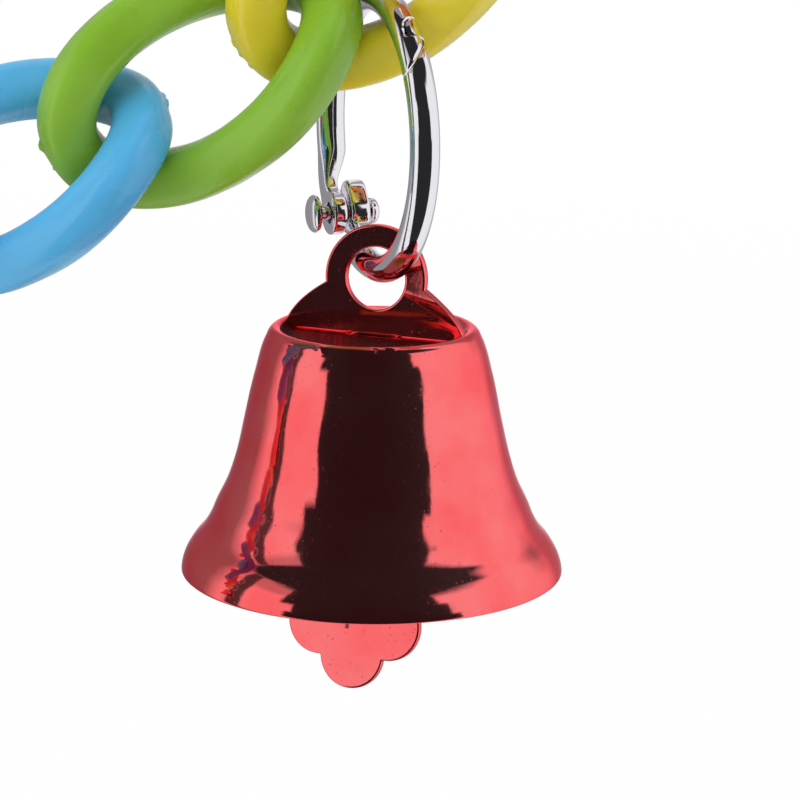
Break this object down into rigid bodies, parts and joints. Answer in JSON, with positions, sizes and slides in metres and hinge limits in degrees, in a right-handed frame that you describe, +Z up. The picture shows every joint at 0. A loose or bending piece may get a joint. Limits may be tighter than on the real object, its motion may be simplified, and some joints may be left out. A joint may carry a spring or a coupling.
{
  "type": "bird bridge swing",
  "caption": "Hanging bridge of big twisted plastic links between two hinged end rings, with bells on hinged rings.",
  "frame": {"origin": "midway between the two places where cage bars carry the end rings, level with the rings' inner tops", "axes": "+X along the bridge to the right, +Y away from the viewer, +Z up"},
  "size_m": [0.2356, 0.042, 0.1193],
  "materials": {
    "red_plastic": "moulded gloss",
    "purple_plastic": "moulded gloss",
    "blue_plastic": "moulded gloss",
    "green_plastic": "moulded gloss",
    "yellow_plastic": "moulded gloss",
    "orange_plastic": "moulded gloss",
    "nickel_plate": "bright nickel plate",
    "red_plate": "mirror-bright red plate"
  },
  "bodies": {
    "end_rings": {"left_end_ring_frame_half": "nickel_plate", "left_end_ring_rivet": "nickel_plate", "right_end_ring_frame_half": "nickel_plate", "right_end_ring_rivet": "nickel_plate"},
    "left_gate": {"left_end_ring_gate_half": "nickel_plate"},
    "right_gate": {"right_end_ring_gate_half": "nickel_plate"},
    "bridge": {"link_01": "red_plastic", "link_12": "orange_plastic"},
    "link_02": {"link_02": "purple_plastic"},
    "link_03": {"link_03": "blue_plastic"},
    "link_04": {"link_04": "green_plastic"},
    "link_05": {"link_05": "yellow_plastic"},
    "link_06": {"link_06": "orange_plastic"},
    "link_07": {"link_07": "red_plastic"},
    "link_08": {"link_08": "purple_plastic"},
    "link_09": {"link_09": "blue_plastic"},
    "link_10": {"link_10": "green_plastic"},
    "link_11": {"link_11": "yellow_plastic"},
    "left_ring_upper": {"left_bell_ring_upper_half": "nickel_plate", "left_bell_ring_rivet": "nickel_plate"},
    "left_ring_lower": {"left_bell_ring_lower_half": "nickel_plate"},
    "left_bell": {"left_bell_shell": "red_plate", "left_bell_hanger": "red_plate"},
    "left_clapper": {"left_bell_clapper": "red_plate"},
    "right_ring_upper": {"right_bell_ring_upper_half": "nickel_plate", "right_bell_ring_rivet": "nickel_plate"},
    "right_ring_lower": {"right_bell_ring_lower_half": "nickel_plate"},
    "right_bell": {"right_bell_shell": "red_plate", "right_bell_hanger": "red_plate"},
    "right_clapper": {"right_bell_clapper": "red_plate"}
  },
  "joints": [
    {"name": "bridge_swing", "type": "hinge", "parent": "end_rings", "child": "bridge", "pos_m": [0, 0, -0.01155], "axis": [1, 0, 0], "range_deg": [-30, 30]},
    {"name": "left_gate_open", "type": "hinge", "parent": "end_rings", "child": "left_gate", "pos_m": [-0.11047, 0.01126, -0.00505], "axis": [-1, 0, 0], "range_deg": [0, 60]},
    {"name": "right_gate_open", "type": "hinge", "parent": "end_rings", "child": "right_gate", "pos_m": [0.11047, 0.01126, -0.00505], "axis": [-1, 0, 0], "range_deg": [0, 60]},
    {"name": "link_02_rock", "type": "hinge", "parent": "bridge", "child": "link_02", "pos_m": [-0.08748, 0, -0.04509], "axis": [0.7874, 0, -0.6165], "range_deg": [-3, 3]},
    {"name": "link_03_rock", "type": "hinge", "parent": "bridge", "child": "link_03", "pos_m": [-0.07009, 0, -0.05714], "axis": [0.8541, 0, -0.5201], "range_deg": [-3, 3]},
    {"name": "link_04_rock", "type": "hinge", "parent": "bridge", "child": "link_04", "pos_m": [-0.05133, 0, -0.06687], "axis": [0.917, 0, -0.3989], "range_deg": [-3, 3]},
    {"name": "link_05_rock", "type": "hinge", "parent": "bridge", "child": "link_05", "pos_m": [-0.03136, 0, -0.07377], "axis": [0.9676, 0, -0.2525], "range_deg": [-3, 3]},
    {"name": "link_06_rock", "type": "hinge", "parent": "bridge", "child": "link_06", "pos_m": [-0.01056, 0, -0.07737], "axis": [0.9962, 0, -0.0867], "range_deg": [-3, 3]},
    {"name": "link_07_rock", "type": "hinge", "parent": "bridge", "child": "link_07", "pos_m": [0.01056, 0, -0.07737], "axis": [0.9962, 0, 0.0867], "range_deg": [-3, 3]},
    {"name": "link_08_rock", "type": "hinge", "parent": "bridge", "child": "link_08", "pos_m": [0.03136, 0, -0.07377], "axis": [0.9676, 0, 0.2525], "range_deg": [-3, 3]},
    {"name": "link_09_rock", "type": "hinge", "parent": "bridge", "child": "link_09", "pos_m": [0.05133, 0, -0.06687], "axis": [0.917, 0, 0.3989], "range_deg": [-3, 3]},
    {"name": "link_10_rock", "type": "hinge", "parent": "bridge", "child": "link_10", "pos_m": [0.07009, 0, -0.05714], "axis": [0.8541, 0, 0.5201], "range_deg": [-3, 3]},
    {"name": "link_11_rock", "type": "hinge", "parent": "bridge", "child": "link_11", "pos_m": [0.08748, 0, -0.04509], "axis": [0.7874, 0, 0.6165], "range_deg": [-3, 3]},
    {"name": "left_ring_swing", "type": "hinge", "parent": "link_02", "child": "left_ring_upper", "pos_m": [-0.0875, -0.00322, -0.05528], "axis": [0.9336, 0.3584, 0], "range_deg": [-20, 20]},
    {"name": "left_ring_open", "type": "hinge", "parent": "left_ring_upper", "child": "left_ring_lower", "pos_m": [-0.09064, 0.00496, -0.07066], "axis": [0.9336, 0.3584, 0], "range_deg": [0, 50]},
    {"name": "left_bell_swing", "type": "hinge", "parent": "left_ring_lower", "child": "left_bell", "pos_m": [-0.08738, -0.00355, -0.07439], "axis": [0.3584, -0.9336, 0], "range_deg": [-25, 25]},
    {"name": "left_clapper_swing", "type": "hinge", "parent": "left_bell", "child": "left_clapper", "pos_m": [-0.08738, -0.00355, -0.08674], "axis": [0.9272, -0.3746, 0], "range_deg": [-16, 44]},
    {"name": "right_ring_swing", "type": "hinge", "parent": "link_11", "child": "right_ring_upper", "pos_m": [0.08699, -0.00003, -0.05699], "axis": [0.9336, 0.3584, 0], "range_deg": [-20, 20]},
    {"name": "right_ring_open", "type": "hinge", "parent": "right_ring_upper", "child": "right_ring_lower", "pos_m": [0.08346, 0.00918, -0.07183], "axis": [0.9336, 0.3584, 0], "range_deg": [0, 50]},
    {"name": "right_bell_swing", "type": "hinge", "parent": "right_ring_lower", "child": "right_bell", "pos_m": [0.08672, 0.00067, -0.07555], "axis": [0.3584, -0.9336, 0], "range_deg": [-25, 25]},
    {"name": "right_clapper_swing", "type": "hinge", "parent": "right_bell", "child": "right_clapper", "pos_m": [0.08672, 0.00067, -0.0879], "axis": [0.9272, -0.3746, 0], "range_deg": [-16, 44]}
  ]
}
